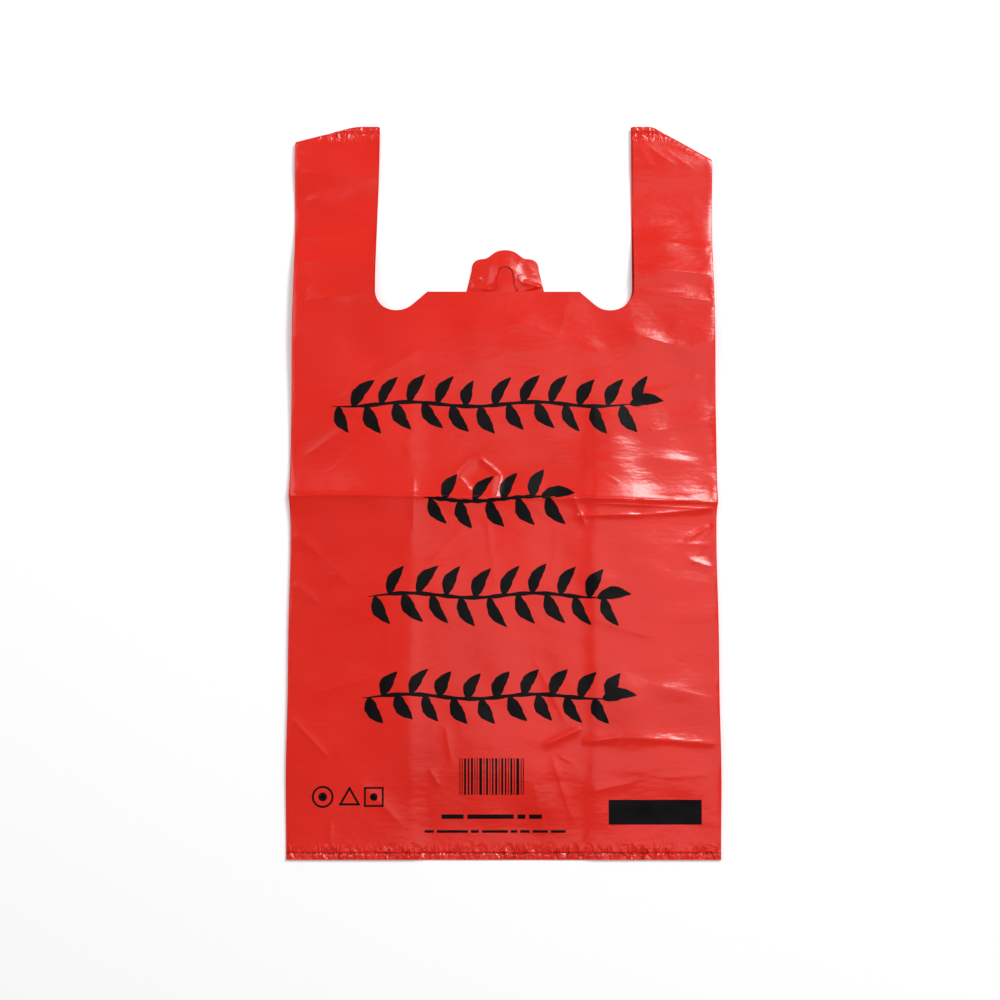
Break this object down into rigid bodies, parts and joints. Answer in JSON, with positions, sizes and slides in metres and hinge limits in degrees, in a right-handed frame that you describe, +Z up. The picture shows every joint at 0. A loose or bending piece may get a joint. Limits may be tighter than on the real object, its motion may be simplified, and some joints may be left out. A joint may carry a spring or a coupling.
{
  "type": "plastic carrier bag",
  "caption": "Thin red film vest carrier bag lying flat, with side gussets, loop handles, a hanging tab and a welded bottom.",
  "frame": {"origin": "middle of the bag's footprint, on the surface it lies on", "axes": "+X to the right across the bag with the printed panel up, +Y from the bottom weld to the handle tops, +Z up through the layers"},
  "size_m": [0.3, 0.52, 0.0092],
  "materials": {
    "red_film": "soft gloss, slightly cloudy thin film"
  },
  "bodies": {
    "root": {"carrier_bag": "red_film"}
  },
  "joints": []
}
